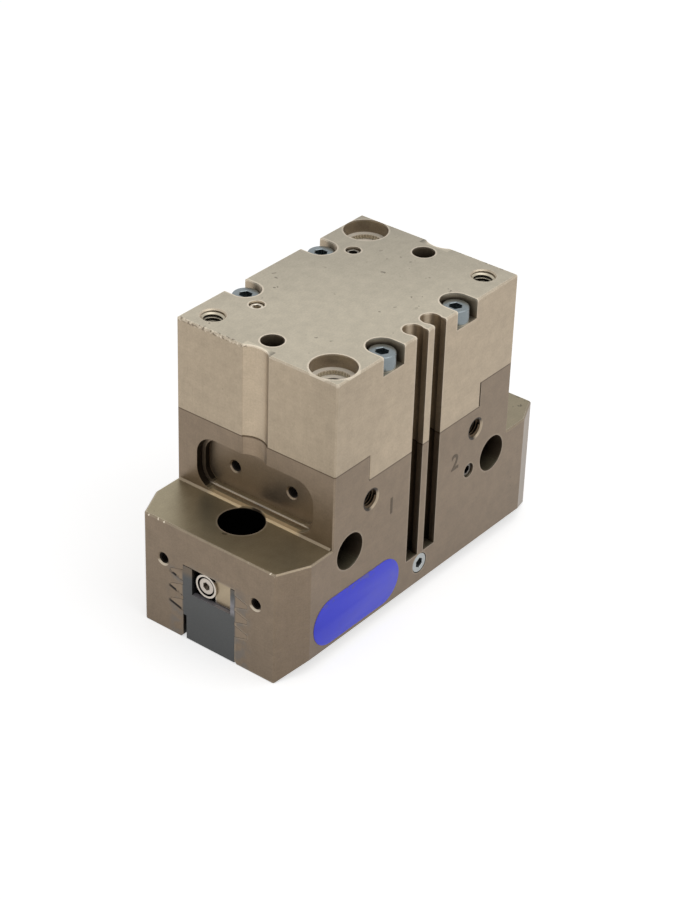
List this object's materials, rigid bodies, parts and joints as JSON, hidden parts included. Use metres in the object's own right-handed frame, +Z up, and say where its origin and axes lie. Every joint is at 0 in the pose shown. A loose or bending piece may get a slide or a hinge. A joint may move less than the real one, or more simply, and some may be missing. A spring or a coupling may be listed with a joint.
{
  "type": "pneumatic parallel gripper",
  "caption": "Pneumatic parallel gripper with toothed base jaws in a stepped aluminium housing, driven by a wedge hook on an oval piston and closed by springs.",
  "frame": {"origin": "middle of the housing's bottom face, where the fingers are fitted", "axes": "+X along the jaw travel towards the rear jaw, -Y the side with the air ports, +Z up to the flange"},
  "size_m": [0.1064, 0.05, 0.0786],
  "materials": {
    "housing_anodised": "hard anodised, brown grey, satin",
    "cover_anodised": "hard anodised, pale champagne, satin",
    "zinc_steel": "blue zinc plate",
    "bright_zinc": "bright zinc plate",
    "dark_steel": "black oxide",
    "jaw_steel": "hardened, dark grey, satin",
    "hardened_steel": "hardened and ground",
    "spring_steel": "oiled spring wire",
    "cam_metal": "satin",
    "bronze": "sintered bronze, oiled",
    "piston_aluminium": "turned and anodised clear",
    "magnet": "matt",
    "seal_rubber": "matt black"
  },
  "bodies": {
    "housing": {"lower_housing": "housing_anodised", "spring_cover": "cover_anodised", "cover_screws": "zinc_steel", "cover_seal": "seal_rubber", "cover_pins": "hardened_steel", "rod_bush": "bronze", "rod_seal": "seal_rubber", "front_spring": "spring_steel", "rear_spring": "spring_steel", "flange_plugs": "zinc_steel", "duct_plug": "dark_steel", "grease_screw": "bright_zinc", "bottom_cover": "cover_anodised", "bottom_cover_screws": "zinc_steel"},
    "piston": {"piston": "piston_aluminium", "piston_seal": "seal_rubber", "piston_magnet": "magnet", "hook_bolt": "dark_steel", "wedge_hook": "hardened_steel"},
    "front_jaw": {"front_base_jaw": "jaw_steel", "front_switch_cam": "cam_metal", "front_cam_screw": "bright_zinc"},
    "rear_jaw": {"rear_base_jaw": "jaw_steel", "rear_switch_cam": "cam_metal", "rear_cam_screw": "bright_zinc"}
  },
  "joints": [
    {"name": "piston_lift", "type": "slide", "parent": "housing", "child": "piston", "axis": [0, 0, 1], "range_m": [0, 0.01], "stiffness_N_per_m": 4000, "springref_m": -0.012, "deforming": ["front_spring", "rear_spring"]},
    {"name": "front_jaw_slide", "type": "slide", "parent": "housing", "child": "front_jaw", "axis": [-1, 0, 0], "range_m": [0, 0.008]},
    {"name": "rear_jaw_slide", "type": "slide", "parent": "housing", "child": "rear_jaw", "axis": [1, 0, 0], "range_m": [0, 0.008]}
  ],
  "couplings": [
    {"joint": "front_jaw_slide", "follows": "piston_lift", "ratio": 0.8},
    {"joint": "rear_jaw_slide", "follows": "piston_lift", "ratio": 0.8}
  ]
}
